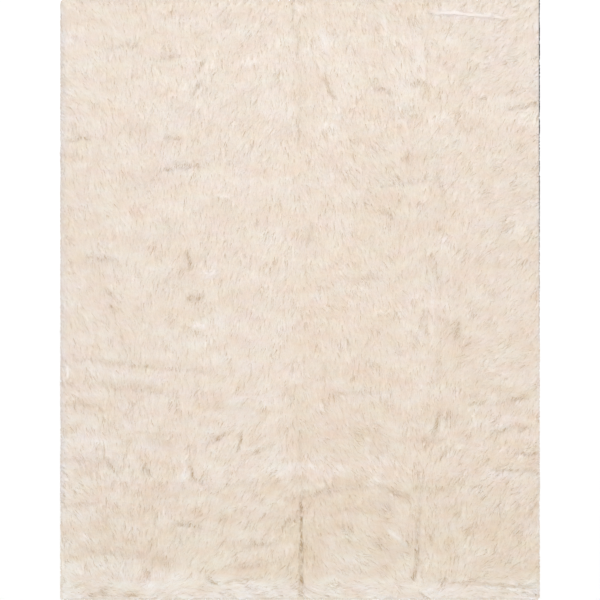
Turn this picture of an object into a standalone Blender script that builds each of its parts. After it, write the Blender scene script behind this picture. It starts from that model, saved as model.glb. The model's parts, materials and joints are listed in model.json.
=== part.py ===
"""Shag rug: one lumpy slab of long pile, with pointed locks of pile all round its rim.

Metres, +Z up. The origin is the middle of the flat underside. +Y runs along the rug's
length, and the pile is combed towards -Y.
"""

from collections import namedtuple
from math import cos, radians, sin, tau

import bmesh
import bpy
import numpy as np

# Driving dimensions
WIDTH = 2.44                # across the rug, from lock tip to lock tip
LENGTH = 3.05               # along the rug, from lock tip to lock tip
PILE_HEIGHT = 0.040         # mean height of the lying pile over the floor
RIM_HEIGHT = 0.020          # height of the slab's side, where the locks are rooted
RIM_ROLL = 0.085            # how far in from the side the pile begins to fall

# Locks of pile round the rim, one to each side face of the slab
LOCKS_ACROSS = 56
LOCKS_ALONG = 70
LOCK_REACH = 0.013          # longest reach of a lock beyond the slab's side
LOCK_REACH_VARIES = 0.45    # share by which the shortest lock falls short of that
LOCK_LEAN = 0.014           # most that a lock's tip turns sideways
LOCK_TIP_HEIGHT = 0.003     # the tips lie just over the floor
LOCK_TURN = 2.4             # radians from one lock's variation to the next

# Lumps of the pile, a sum of waves that run in every direction
LUMP_WAVES = 16
LUMP_SHORTEST = 0.13
LUMP_LONGEST = 0.34
LUMP_HEIGHT = 0.0024        # height of the longest wave, and less for the shorter ones
LUMP_SEED = 11

# Soft troughs where the pile parts: the folds that the rug was packed in run along it, and
# short partings and low waves run across it. The bearing is in degrees from +X, the width
# is from the trough's middle to its shoulder, and a negative depth is a ridge.
Parting = namedtuple("Parting", "x y length bearing width depth")
PARTINGS = (
    # the fold along the middle
    Parting(0.00, 1.15, 0.62, 90, 0.034, 0.007),
    Parting(-0.01, 0.20, 1.30, 90, 0.034, 0.003),
    Parting(0.00, -0.68, 0.16, 90, 0.036, 0.009),
    Parting(0.01, -1.25, 0.46, 90, 0.038, 0.015),
    # the fold along the right side
    Parting(0.66, 1.20, 0.52, 90, 0.034, 0.007),
    Parting(0.70, 0.45, 0.80, 92, 0.034, 0.005),
    Parting(0.70, -0.30, 0.50, 90, 0.034, 0.006),
    Parting(0.69, -0.64, 0.16, 80, 0.036, 0.010),
    Parting(0.60, -1.18, 0.40, 90, 0.036, 0.011),
    # partings of the upper half
    Parting(-0.90, 1.29, 0.24, 10, 0.034, 0.008),
    Parting(-0.67, 1.23, 0.18, 12, 0.034, 0.005),
    Parting(-0.51, 1.13, 0.16, 70, 0.034, 0.006),
    Parting(0.15, 1.08, 0.14, -60, 0.034, 0.007),
    Parting(0.42, 1.08, 0.16, -20, 0.038, 0.009),
    Parting(1.12, 0.98, 0.18, 5, 0.036, 0.009),
    Parting(-1.13, 0.78, 0.20, -4, 0.036, 0.007),
    Parting(-0.57, 0.69, 0.28, 5, 0.034, 0.008),
    Parting(0.54, 0.59, 0.30, 8, 0.034, 0.005),
    Parting(0.46, 0.46, 0.14, -30, 0.034, 0.006),
    Parting(-0.55, 0.20, 0.12, -70, 0.034, 0.006),
    Parting(-0.95, 0.00, 0.14, -35, 0.034, 0.006),
    Parting(-0.53, 0.01, 0.14, 5, 0.034, 0.006),
    # partings and low waves of the lower half
    Parting(0.80, -0.16, 0.12, 90, 0.036, 0.009),
    Parting(-0.81, -0.33, 0.72, -6, 0.034, 0.006),
    Parting(-0.80, -0.45, 0.48, -9, 0.034, 0.007),
    Parting(0.30, -0.47, 0.44, 3, 0.036, 0.004),
    Parting(1.02, -0.51, 0.36, 6, 0.034, 0.006),
    Parting(1.08, -0.66, 0.26, 3, 0.036, 0.009),
    Parting(0.65, -0.72, 0.20, 0, 0.036, 0.010),
    Parting(-0.39, -0.71, 0.16, 25, 0.036, 0.009),
    Parting(0.15, -0.87, 0.90, 2, 0.050, -0.005),
    Parting(-0.54, -0.87, 0.12, -70, 0.034, 0.007),
    Parting(1.08, -0.86, 0.28, -3, 0.034, 0.007),
    Parting(0.14, -0.97, 0.50, 9, 0.038, 0.010),
    Parting(0.56, -0.96, 0.34, -8, 0.036, 0.007),
    Parting(-0.30, -1.24, 0.30, 4, 0.034, 0.006),
    Parting(-0.96, -1.25, 0.44, -5, 0.038, 0.010),
    Parting(-0.20, -1.33, 0.60, 4, 0.036, 0.008),
    Parting(0.93, -1.42, 0.58, -3, 0.036, 0.008),
)

PILE_COLOUR = (0.84, 0.73, 0.62, 1.0)
PILE_ROUGHNESS = 0.95

SLAB_WIDTH = WIDTH - 2 * LOCK_REACH
SLAB_LENGTH = LENGTH - 2 * LOCK_REACH
ON_SIDE = 1e-4              # a point this close to the slab's side lies on it


def clear_scene():
    for old in list(bpy.data.objects):
        bpy.data.objects.remove(old, do_unlink=True)


def pile_material():
    material = bpy.data.materials.new("ivory_pile")
    material.use_nodes = True
    shader = material.node_tree.nodes["Principled BSDF"]
    shader.inputs["Base Color"].default_value = PILE_COLOUR
    shader.inputs["Roughness"].default_value = PILE_ROUGHNESS
    shader.inputs["Metallic"].default_value = 0.0
    material.diffuse_color = PILE_COLOUR
    return material


def trough(x, y, parting):
    """A parting's depth at each point: a bell across it, which fades near its two ends."""
    along_x, along_y = cos(radians(parting.bearing)), sin(radians(parting.bearing))
    along = (x - parting.x) * along_x + (y - parting.y) * along_y
    across = (y - parting.y) * along_x - (x - parting.x) * along_y
    fade = np.exp(-((2 * along / parting.length) ** 4))
    return parting.depth * np.exp(-((across / parting.width) ** 2)) * fade


def lumps(x, y):
    """Waves of seeded bearing, length and phase, the longer ones the higher."""
    rng = np.random.default_rng(LUMP_SEED)
    height = np.zeros_like(x)
    for _ in range(LUMP_WAVES):
        bearing = rng.uniform(0, tau)
        wavelength = rng.uniform(LUMP_SHORTEST, LUMP_LONGEST)
        phase = rng.uniform(0, tau)
        run = x * cos(bearing) + y * sin(bearing)
        height += LUMP_HEIGHT * wavelength / LUMP_LONGEST * np.sin(tau * run / wavelength + phase)
    return height


def pile_surface(x, y):
    """Height of the pile: lumps and partings on a level top, which rolls down to the rim."""
    inset = np.minimum(SLAB_WIDTH / 2 - np.abs(x), SLAB_LENGTH / 2 - np.abs(y))
    roll = np.clip(inset / RIM_ROLL, 0, 1)
    roll = np.sqrt(1 - (1 - roll) ** 2)
    relief = lumps(x, y) - sum(trough(x, y, parting) for parting in PARTINGS)
    rim_share = 0.35 + 0.65 * roll
    return RIM_HEIGHT + (PILE_HEIGHT - RIM_HEIGHT) * roll + relief * rim_share


def add_pile_top(bm):
    """A grid of one face to each rim lock, lifted to the height of the pile."""
    bmesh.ops.create_grid(bm, x_segments=LOCKS_ACROSS, y_segments=LOCKS_ALONG, size=0.5)
    bmesh.ops.scale(bm, vec=(SLAB_WIDTH, SLAB_LENGTH, 1), verts=bm.verts)
    x = np.array([vert.co.x for vert in bm.verts])
    y = np.array([vert.co.y for vert in bm.verts])
    for vert, height in zip(bm.verts, pile_surface(x, y)):
        vert.co.z = height


def add_side_and_underside(bm):
    """The grid's border drawn straight down to the floor, and closed with one flat face."""
    border = [edge for edge in bm.edges if edge.is_boundary]
    drawn = bmesh.ops.extrude_edge_only(bm, edges=border)["geom"]
    for vert in drawn:
        if isinstance(vert, bmesh.types.BMVert):
            vert.co.z = 0.0
    side = [face for face in drawn if isinstance(face, bmesh.types.BMFace)]
    foot = [edge for edge in bm.edges if edge.is_boundary]
    bmesh.ops.contextual_create(bm, geom=foot)
    bmesh.ops.recalc_face_normals(bm, faces=bm.faces)
    return side


def add_rim_locks(bm, side):
    """Each side face drawn out from its middle to a point: a lock with four sides."""
    tips = bmesh.ops.poke(bm, faces=side)["verts"]
    for tip in tips:
        across = abs(abs(tip.co.x) - SLAB_WIDTH / 2) < ON_SIDE
        place = tip.co.y if across else tip.co.x
        pitch = SLAB_LENGTH / LOCKS_ALONG if across else SLAB_WIDTH / LOCKS_ACROSS
        turn = LOCK_TURN * round(place / pitch)
        reach = LOCK_REACH * (1 - LOCK_REACH_VARIES * sin(turn) ** 2)
        lean = LOCK_LEAN * sin(2.3 * turn + 1)
        if across:
            tip.co.x += reach if tip.co.x > 0 else -reach
            tip.co.y += lean
        else:
            tip.co.y += reach if tip.co.y > 0 else -reach
            tip.co.x += lean
        tip.co.z = LOCK_TIP_HEIGHT


def build_pile_slab(collection):
    bm = bmesh.new()
    add_pile_top(bm)
    side = add_side_and_underside(bm)
    add_rim_locks(bm, side)
    mesh = bpy.data.meshes.new("pile_slab")
    bm.to_mesh(mesh)
    bm.free()
    mesh.materials.append(pile_material())
    mesh.shade_smooth()
    mesh.set_sharp_from_angle(angle=radians(40))
    collection.objects.link(bpy.data.objects.new("pile_slab", mesh))


def main():
    clear_scene()
    collection = bpy.data.collections.new("shag_rug")
    bpy.context.scene.collection.children.link(collection)
    build_pile_slab(collection)


main()
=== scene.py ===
"""Dresses the shag rug: a woven backing, a dense underwool on it, and a long ivory pile.

Everything is in metres, +Z up. The rug's length runs along Y, and its pile is combed
towards -Y, the near end. The pile is made of closed tapered locks and hairs, which are
worked out as whole arrays and joined into a few meshes.
"""

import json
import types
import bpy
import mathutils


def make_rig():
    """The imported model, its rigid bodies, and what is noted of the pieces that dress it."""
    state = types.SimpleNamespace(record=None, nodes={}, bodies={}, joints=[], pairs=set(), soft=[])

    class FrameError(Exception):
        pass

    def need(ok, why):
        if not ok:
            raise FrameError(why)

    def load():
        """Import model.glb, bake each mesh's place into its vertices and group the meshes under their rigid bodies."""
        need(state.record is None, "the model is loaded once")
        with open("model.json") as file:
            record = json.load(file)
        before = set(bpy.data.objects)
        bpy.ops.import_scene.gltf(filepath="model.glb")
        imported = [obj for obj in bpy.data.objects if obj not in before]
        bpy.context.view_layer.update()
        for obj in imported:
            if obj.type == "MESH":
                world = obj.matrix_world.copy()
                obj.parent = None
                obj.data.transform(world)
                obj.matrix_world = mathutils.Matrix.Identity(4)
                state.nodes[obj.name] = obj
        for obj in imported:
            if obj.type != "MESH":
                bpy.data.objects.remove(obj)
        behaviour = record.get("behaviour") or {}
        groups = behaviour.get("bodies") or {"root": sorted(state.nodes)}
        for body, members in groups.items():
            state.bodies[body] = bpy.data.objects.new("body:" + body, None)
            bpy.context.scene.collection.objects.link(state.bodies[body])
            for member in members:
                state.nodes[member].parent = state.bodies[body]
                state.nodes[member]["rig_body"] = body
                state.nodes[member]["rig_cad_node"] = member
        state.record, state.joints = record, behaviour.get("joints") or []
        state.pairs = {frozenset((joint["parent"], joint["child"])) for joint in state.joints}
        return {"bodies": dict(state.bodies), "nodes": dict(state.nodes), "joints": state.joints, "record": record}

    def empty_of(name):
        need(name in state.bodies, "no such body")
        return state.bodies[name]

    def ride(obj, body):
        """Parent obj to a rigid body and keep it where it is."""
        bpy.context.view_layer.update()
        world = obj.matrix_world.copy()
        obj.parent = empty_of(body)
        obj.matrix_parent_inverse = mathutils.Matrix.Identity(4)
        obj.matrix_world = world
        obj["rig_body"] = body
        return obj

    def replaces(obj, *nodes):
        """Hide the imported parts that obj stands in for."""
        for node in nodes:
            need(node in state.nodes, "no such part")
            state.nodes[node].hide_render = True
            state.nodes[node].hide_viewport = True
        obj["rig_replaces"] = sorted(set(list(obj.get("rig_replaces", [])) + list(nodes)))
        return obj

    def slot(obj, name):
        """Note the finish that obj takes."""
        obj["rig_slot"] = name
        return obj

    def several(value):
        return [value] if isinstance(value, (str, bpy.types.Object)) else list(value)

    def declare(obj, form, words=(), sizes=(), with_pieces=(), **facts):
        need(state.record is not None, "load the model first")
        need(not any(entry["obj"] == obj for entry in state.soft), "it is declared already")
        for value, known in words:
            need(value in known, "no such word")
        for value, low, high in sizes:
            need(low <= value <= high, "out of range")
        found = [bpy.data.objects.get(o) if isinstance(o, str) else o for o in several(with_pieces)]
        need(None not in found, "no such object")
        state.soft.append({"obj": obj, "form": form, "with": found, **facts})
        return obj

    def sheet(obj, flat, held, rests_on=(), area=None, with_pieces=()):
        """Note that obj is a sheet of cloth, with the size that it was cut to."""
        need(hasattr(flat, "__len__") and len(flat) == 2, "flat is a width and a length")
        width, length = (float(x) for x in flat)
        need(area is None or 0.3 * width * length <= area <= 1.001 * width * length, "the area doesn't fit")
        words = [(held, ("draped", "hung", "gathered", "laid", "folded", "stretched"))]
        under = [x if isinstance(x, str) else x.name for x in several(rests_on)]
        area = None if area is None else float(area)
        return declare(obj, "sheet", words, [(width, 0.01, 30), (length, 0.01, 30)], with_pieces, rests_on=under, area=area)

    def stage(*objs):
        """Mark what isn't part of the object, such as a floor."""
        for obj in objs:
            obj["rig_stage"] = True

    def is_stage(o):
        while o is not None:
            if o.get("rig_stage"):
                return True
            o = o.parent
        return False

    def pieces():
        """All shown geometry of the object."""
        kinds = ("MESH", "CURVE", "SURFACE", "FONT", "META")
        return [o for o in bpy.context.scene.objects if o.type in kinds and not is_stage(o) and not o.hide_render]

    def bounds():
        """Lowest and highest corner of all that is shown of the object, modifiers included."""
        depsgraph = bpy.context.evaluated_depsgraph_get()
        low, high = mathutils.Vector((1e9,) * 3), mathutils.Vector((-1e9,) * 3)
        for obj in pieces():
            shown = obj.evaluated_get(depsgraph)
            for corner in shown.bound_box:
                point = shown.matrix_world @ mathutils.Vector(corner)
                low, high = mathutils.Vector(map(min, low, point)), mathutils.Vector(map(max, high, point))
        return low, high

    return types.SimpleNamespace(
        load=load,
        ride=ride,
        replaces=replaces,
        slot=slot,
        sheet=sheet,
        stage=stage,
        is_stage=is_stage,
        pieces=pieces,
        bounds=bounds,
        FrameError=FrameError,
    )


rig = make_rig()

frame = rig.load()
cad_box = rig.bounds()

import json
import logging
import math
from collections.abc import Iterator
from dataclasses import dataclass
from enum import Enum
from functools import reduce
from typing import ClassVar, NamedTuple

import bpy
import numpy as np
from mathutils import Vector

Array = np.ndarray
Plan = tuple[Array, Array]
Span = tuple[float, float]
Place = tuple[float, float, float]
Colour = tuple[float, float, float]
Material = bpy.types.Material
Piece = bpy.types.Object
Socket = bpy.types.NodeSocket

NODE = "pile_slab"          # the CAD solid that the dressed rug stands for
SLOT = "pile"
BODY = "root"
SIZE_FILE = "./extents.json"
BAKE_MAP = "OFBake"         # name of the UV map that a pattern can be baked through
STRAND = "strand"           # attribute: across a lock, along it, and its own random number
COAT = "coat"               # attribute: tone, opening of the pile, warmth
REACH = (1.2205, 1.5335)    # how far the pile's outline is from the middle, across and along
RAGGED = 0.0009             # how much farther in some locks stop than others
LEAST_HEIGHT = 0.0005       # no lock comes lower over the floor
MOST_OPEN = 0.95            # the most that a parting opens the pile
PANEL_EDGE = 0.035          # a panel's tone comes in over this far to either side of its edge
WHITE = (1.0, 1.0, 1.0)
BLACK = (0.0, 0.0, 0.0)
TINY = 1e-6                 # keeps a division and a range's end safe

log = logging.getLogger("shag_rug")


def step(value: Array, start: float, end: float) -> Array:
    """Smooth step from 0 at start to 1 at end, 3 t^2 - 2 t^3."""
    t = np.clip((value - start) / (end - start), 0, 1)
    return t * t * (3 - 2 * t)


def within(value: Array, low: float, high: float, edge: float) -> Array:
    """1 from low to high and 0 outside, with smooth steps an edge to either side of both."""
    return step(value, low - edge, low + edge) * step(value, high + edge, high - edge)


def drawn_in(x: Array, y: Array) -> Plan:
    """Places in plan, with those past the rug's outline drawn in to it."""
    return np.clip(x, -REACH[0], REACH[0]), np.clip(y, -REACH[1], REACH[1])


def laid(root: Plan, heading: Plan, length: Array, stations: Array, sideways: Array | float = 0.0) -> Plan:
    """Runs of points in plan: root + heading * length * station, each moved sideways to the left.

    Args:
        root: where each run starts.
        heading: its direction, of unit length.
        length: its length.
        stations: shares of the length, the same for all runs.
        sideways: how far each point is moved.

    Returns:
        Places across and along the rug, as (runs, stations).
    """
    x, y, hx, hy, length = (values[:, None] for values in (*root, *heading, length))
    across = x + hx * length * stations - hy * sideways
    along = y + hy * length * stations + hx * sideways
    return across, along


class Parting(NamedTuple):
    """A line along which the pile opens, in metres and degrees from +X; a negative depth is a ridge."""

    x: float
    y: float
    length: float
    bearing: float
    width: float
    depth: float


# The folds that the rug was packed in run along it. Short partings and low waves run across it.
PARTINGS = tuple(Parting(*row) for row in (
    # the fold along the middle
    (-0.03, 1.45, 0.20, 90, 0.010, 0.27),
    (-0.01, 1.30, 0.16, 90, 0.010, 0.42),
    (0.00, 1.07, 0.22, 92, 0.011, 0.18),
    (-0.005, 0.86, 0.17, 90, 0.009, 0.35),
    (0.05, 0.34, 0.10, 80, 0.011, 0.40),
    (0.00, -0.72, 0.24, 90, 0.018, 0.28),
    (0.006, -1.22, 0.48, 90, 0.0045, 1.70),
    (0.004, -1.24, 0.30, 90, 0.030, 0.22),
    # the fold along the right side
    (0.66, 1.46, 0.14, 88, 0.012, 0.15),
    (0.645, 1.26, 0.26, 90, 0.011, 0.22),
    (0.71, 0.60, 0.18, 100, 0.012, 0.38),
    (0.70, 0.12, 0.18, 108, 0.009, 0.45),
    (0.67, -0.05, 0.44, 90, 0.008, -0.30),
    (0.70, -0.34, 0.20, 90, 0.009, 0.32),
    (0.695, -0.62, 0.11, 78, 0.012, 1.15),
    (0.605, -1.06, 0.17, 86, 0.010, 0.48),
    (0.596, -1.20, 0.13, 86, 0.009, 0.50),
    (0.591, -1.31, 0.12, 86, 0.013, 0.85),
    (0.575, -1.40, 0.08, 62, 0.012, 0.80),
    # partings of the upper half, from the left to the right
    (-1.13, 0.82, 0.14, 8, 0.013, 0.70),
    (-1.16, 0.74, 0.16, -8, 0.012, 0.26),
    (-0.90, 1.29, 0.19, 10, 0.014, 0.42),
    (-0.67, 1.23, 0.13, 14, 0.011, 0.60),
    (-0.50, 1.19, 0.08, 60, 0.014, 0.55),
    (-0.52, 1.075, 0.08, 55, 0.012, 0.55),
    (-0.64, 0.82, 0.09, 0, 0.013, 0.65),
    (-0.58, 0.675, 0.25, 5, 0.012, 0.95),
    (-0.34, 0.70, 0.09, 10, 0.011, 0.42),
    (0.145, 1.08, 0.12, -60, 0.012, 0.65),
    (0.415, 1.07, 0.14, -22, 0.016, 0.55),
    (0.59, 1.10, 0.06, 0, 0.016, 0.65),
    (1.13, 0.985, 0.16, 8, 0.012, 0.78),
    (0.54, 0.60, 0.28, 8, 0.009, 0.65),
    (0.445, 0.44, 0.08, -40, 0.012, 0.68),
    (0.51, 0.51, 0.10, 52, 0.009, 0.50),
    (0.33, 0.11, 0.20, 5, 0.014, 0.30),
    # partings round the middle
    (-0.56, 0.205, 0.10, -70, 0.012, 0.85),
    (-1.00, 0.21, 0.16, -5, 0.010, 0.60),
    (-0.965, 0.035, 0.08, -38, 0.012, 0.65),
    (-0.94, -0.04, 0.08, -10, 0.010, 0.52),
    (-0.53, 0.01, 0.11, 8, 0.014, 0.95),
    (-0.50, -0.175, 0.08, -20, 0.012, 0.44),
    (0.63, -0.15, 0.09, -50, 0.010, 0.45),
    (0.80, -0.16, 0.10, 84, 0.016, 0.80),
    # low waves and partings of the lower half, from the far end to the near one
    (-0.81, -0.33, 0.70, -6, 0.010, 0.50),
    (-1.185, -0.425, 0.10, -4, 0.014, 0.32),
    (-0.82, -0.455, 0.46, -9, 0.011, 0.50),
    (-1.08, -0.53, 0.18, -3, 0.009, 0.28),
    (-0.37, -0.545, 0.26, 0, 0.010, 0.15),
    (0.30, -0.47, 0.40, 3, 0.011, 0.48),
    (0.90, -0.52, 0.12, 4, 0.010, 0.60),
    (1.07, -0.505, 0.20, 8, 0.009, 0.75),
    (1.09, -0.655, 0.22, 3, 0.010, 0.95),
    (0.66, -0.71, 0.15, -2, 0.012, 0.65),
    (-0.42, -0.70, 0.11, 28, 0.012, 0.80),
    (-0.30, -0.71, 0.10, 84, 0.009, 0.88),
    (-0.19, -0.755, 0.12, 28, 0.012, 0.55),
    (1.15, -0.775, 0.12, 0, 0.009, 0.85),
    (-1.09, -0.81, 0.22, 0, 0.010, 0.22),
    (-0.955, -0.845, 0.07, -45, 0.011, 0.85),
    (-0.775, -0.865, 0.06, -30, 0.015, 0.85),
    (-0.545, -0.87, 0.10, -70, 0.012, 0.78),
    (1.09, -0.86, 0.24, -4, 0.011, 0.62),
    (-0.19, -0.925, 0.46, 4, 0.011, 0.20),
    (0.14, -0.97, 0.42, 10, 0.013, 0.80),
    (0.46, -0.965, 0.16, -18, 0.015, 0.50),
    (0.68, -0.96, 0.20, 0, 0.012, 0.62),
    (-1.12, -1.035, 0.18, 5, 0.011, 0.34),
    (0.24, -1.16, 0.07, 0, 0.017, 0.70),
    (0.39, -1.24, 0.08, -30, 0.018, 0.65),
    (-0.565, -1.14, 0.15, -10, 0.011, 1.05),
    (-0.97, -1.28, 0.38, -5, 0.013, 0.35),
    (-0.20, -1.24, 0.18, 5, 0.011, 0.65),
    (-0.66, -1.335, 0.30, -9, 0.011, 0.20),
    (-0.19, -1.34, 0.40, 6, 0.012, 0.45),
    (-0.445, -1.425, 0.08, -42, 0.012, 0.85),
    (-0.28, -1.42, 0.22, 6, 0.009, 0.48),
    (0.93, -1.44, 0.54, -4, 0.010, 0.50),
    (-1.00, -1.475, 0.07, 30, 0.012, 0.62),
    (-0.86, -1.50, 0.07, 0, 0.012, 0.70),
    # ridges, where the pile lies flat; the light they catch is a painted highlight on their locks and hairs
    (0.850, 1.449, 0.40, -4, 0.012, -1.20),
    (0.12, 1.31, 0.18, -74, 0.022, -0.30),
    (0.43, 1.38, 0.18, -80, 0.014, -0.40),
    (-0.27, 1.21, 0.14, 5, 0.013, -0.40),
    (0.55, 1.18, 0.22, 0, 0.020, -0.24),
    (0.13, 0.89, 0.12, 5, 0.018, -0.45),
    (0.72, 0.93, 0.10, 5, 0.020, -0.45),
    (-0.45, 0.13, 0.08, 35, 0.017, -1.40),
    (-0.51, -0.13, 0.07, 0, 0.016, -0.65),
    (-1.18, -0.37, 0.06, 85, 0.012, -1.80),
    (-0.86, -0.385, 0.50, -5, 0.011, -0.30),
    (1.11, -0.60, 0.16, -12, 0.013, -0.28),
    (0.15, -0.86, 0.86, 2, 0.030, -0.25),
    (-0.585, -0.875, 0.08, 80, 0.012, -0.65),
    (0.49, -1.20, 0.12, -45, 0.010, -0.80),
))


class Panel(NamedTuple):
    """A stretch of pile between folds, in metres, and how much brighter it lies than the rest."""

    left: float
    right: float
    near: float
    far: float
    # the panel's painted light or shade, added to the pile's tone
    tone: float

    def painted_light(self, x: Array, y: Array) -> Array:
        """The panel's own tone between its edges, and 0 outside them."""
        across = within(x, self.left, self.right, PANEL_EDGE)
        return self.tone * across * within(y, self.near, self.far, PANEL_EDGE)


# The folds leave the rug in flat panels that lie at slightly different angles to the light. Each panel's light or
# shade is painted into the pile's tone.
PANELS = tuple(Panel(*row) for row in (
    (-1.25, -0.04, -1.60, 1.60, 0.006),
    (-1.25, -1.02, -1.38, -0.92, 0.022),
    (-1.25, -0.80, -1.52, -1.38, -0.014),
    (0.03, 1.25, -1.36, 0.84, -0.007),
    (0.22, 0.50, -0.50, 0.20, -0.004),
    (0.98, 1.25, 0.84, 1.60, 0.010),
    (-0.10, 0.34, 1.12, 1.36, 0.006),
    (-1.25, -1.00, -0.82, -0.71, 0.020),
    (0.03, 0.62, 0.00, 0.08, 0.008),
    (-0.30, 0.45, -1.30, -1.05, -0.006),
    (-0.04, 0.70, -0.92, -0.50, -0.009),
    (-0.04, 0.87, 1.36, 1.60, -0.012),
    (0.25, 0.70, 0.05, 0.66, -0.008),
    (-1.25, -1.00, 0.10, 0.66, -0.012),
    (0.25, 0.46, -0.06, 0.08, 0.022),
    (0.05, 0.87, -1.39, -1.31, 0.018),
    (0.27, 0.66, -1.45, -1.39, 0.016),
    (0.05, 0.46, -1.60, -1.45, -0.010),
    (0.46, 0.87, -1.60, -1.45, 0.022),
    (0.25, 0.46, 0.62, 1.60, -0.009),
    (-0.25, -0.04, -0.05, 0.08, -0.011),
    (-0.25, -0.04, -1.60, -1.45, -0.014),
    (-0.50, -0.25, -1.60, -1.39, 0.012),
    (-1.00, -0.76, -0.72, -0.06, -0.008),
    (-1.00, -0.76, 1.16, 1.60, -0.010),
    (0.87, 1.25, -1.32, -1.13, 0.011),
    (-1.25, -0.50, -1.16, -0.92, 0.009),
    (-0.05, 0.05, 0.88, 1.16, -0.013),
    (-0.05, 0.05, -0.70, -0.52, -0.013),
    (-0.05, 0.05, -1.60, -1.47, 0.020),
    (0.46, 0.66, 0.67, 0.85, -0.013),
    (0.25, 0.46, -0.80, -0.54, -0.012),
    (-0.50, -0.25, -0.80, -0.72, -0.014),
    (-0.25, -0.04, 0.09, 0.25, 0.010),
    (0.66, 0.87, -0.52, 0.25, -0.007),
    (-1.25, -0.04, -0.10, 1.60, -0.004),
    (0.25, 1.25, -0.92, -0.81, 0.010),
    (0.66, 1.25, -1.02, -0.92, 0.010),
))


class Ramp(NamedTuple):
    """A smooth change from start to end, in metres, and how much it adds."""

    start: float
    end: float
    amount: float

    def at(self, value: Array) -> Array:
        """What the ramp adds at each place along its axis."""
        return self.amount * step(value, self.start, self.end)


@dataclass(frozen=True)
class WaveField:
    """A smooth random field: plane waves of seeded bearing, length and phase."""

    shortest: float
    longest: float
    waves: int
    seed: int

    def each(self, x: Array, y: Array) -> Iterator[tuple[float, Array]]:
        """Gives each wave in turn, as sin(2 pi run / wavelength + phase).

        Args:
            x: places across the rug.
            y: places along the rug.

        Yields:
            The wavelength, and the sine at each place.
        """
        rng = np.random.default_rng(self.seed)
        for _ in range(self.waves):
            bearing = rng.uniform(0, math.tau)
            wavelength = rng.uniform(self.shortest, self.longest)
            phase = rng.uniform(0, math.tau)
            run = x * math.cos(bearing) + y * math.sin(bearing)
            yield wavelength, np.sin(math.tau * run / wavelength + phase)

    def at(self, x: Array, y: Array) -> Array:
        """The sum of the waves at each place, scaled to unit spread."""
        return sum(wave for _, wave in self.each(x, y)) * math.sqrt(2 / self.waves)


@dataclass(frozen=True)
class Relief:
    """The pile's height over the floor: the solid's lumps and rolled rim, and the partings."""

    width: float = 2.414
    length: float = 3.024
    pile_height: float = 0.040
    rim_height: float = 0.020
    rim_roll: float = 0.085
    rim_relief: float = 0.35            # share of the relief that is left at the rim
    lump_field: WaveField = WaveField(0.13, 0.34, 16, 11)
    lump_height: float = 0.0024
    parting_depth: float = 0.009
    bell_reach: float = 4.0             # a parting reaches no farther than its length and this many widths
    opening_limits: Span = (-0.6, 1.4)  # ridges and partings get no higher or deeper than these
    waver: float = 0.0026
    waver_across: WaveField = WaveField(0.04, 0.12, 8, 24)
    waver_along: WaveField = WaveField(0.04, 0.12, 8, 25)

    def inset(self, x: Array, y: Array) -> Array:
        """Distance in from the nearest side, negative outside."""
        return np.minimum(self.width / 2 - np.abs(x), self.length / 2 - np.abs(y))

    def bent(self, x: Array, y: Array) -> Plan:
        """Places moved by the two wave fields that keep the partings from running straight."""
        return x + self.waver * self.waver_across.at(x, y), y + self.waver * self.waver_along.at(x, y)

    def unbent(self, x: Array, y: Array) -> Plan:
        """Places that the wave fields move to the given ones, to the first order."""
        return x - self.waver * self.waver_across.at(x, y), y - self.waver * self.waver_along.at(x, y)

    def opening(self, x: Array, y: Array) -> Array:
        """How far the pile is open at each place: 0 is closed, 1 a plain parting, below 0 a ridge.

        Each parting is a bell across its line, exp(-(across / width)^2), times a flat-topped
        bell along it, exp(-(along / half its length)^4), and the partings add up. Two wave
        fields bend the places first, so that no parting runs quite straight.

        Args:
            x: places across the rug.
            y: places along the rug.

        Returns:
            The sum of the partings' depths.
        """
        total = np.zeros_like(x)
        x, y = self.bent(x, y)
        for row in PARTINGS:
            along_x = math.cos(math.radians(row.bearing))
            along_y = math.sin(math.radians(row.bearing))
            near = np.abs(x - row.x) + np.abs(y - row.y) < row.length + self.bell_reach * row.width
            dx, dy = x[near] - row.x, y[near] - row.y
            along = dx * along_x + dy * along_y
            across = dy * along_x - dx * along_y
            bell = np.exp(-((across / row.width) ** 2) - (2 * along / row.length) ** 4)
            total[near] += row.depth * bell
        return total

    def lumps(self, x: Array, y: Array) -> Array:
        """Height of the solid's own lumps: the sum of a field's waves, the longer the higher."""
        field = self.lump_field
        return sum(self.lump_height * (length / field.longest) * wave for length, wave in field.each(x, y))

    def height(self, x: Array, y: Array) -> Array:
        """Height of the pile, which rolls down to the rim along a quarter circle.

        Args:
            x: places across the rug.
            y: places along the rug.

        Returns:
            Height of the top of the pile over the floor, partings included.
        """
        roll = np.clip(self.inset(x, y) / self.rim_roll, 0, 1)
        roll = np.sqrt(1 - (1 - roll) ** 2)
        level = self.rim_height + (self.pile_height - self.rim_height) * roll
        relief = self.lumps(x, y) - self.parting_depth * np.clip(self.opening(x, y), *self.opening_limits)
        return level + relief * (self.rim_relief + (1 - self.rim_relief) * roll)


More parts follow.
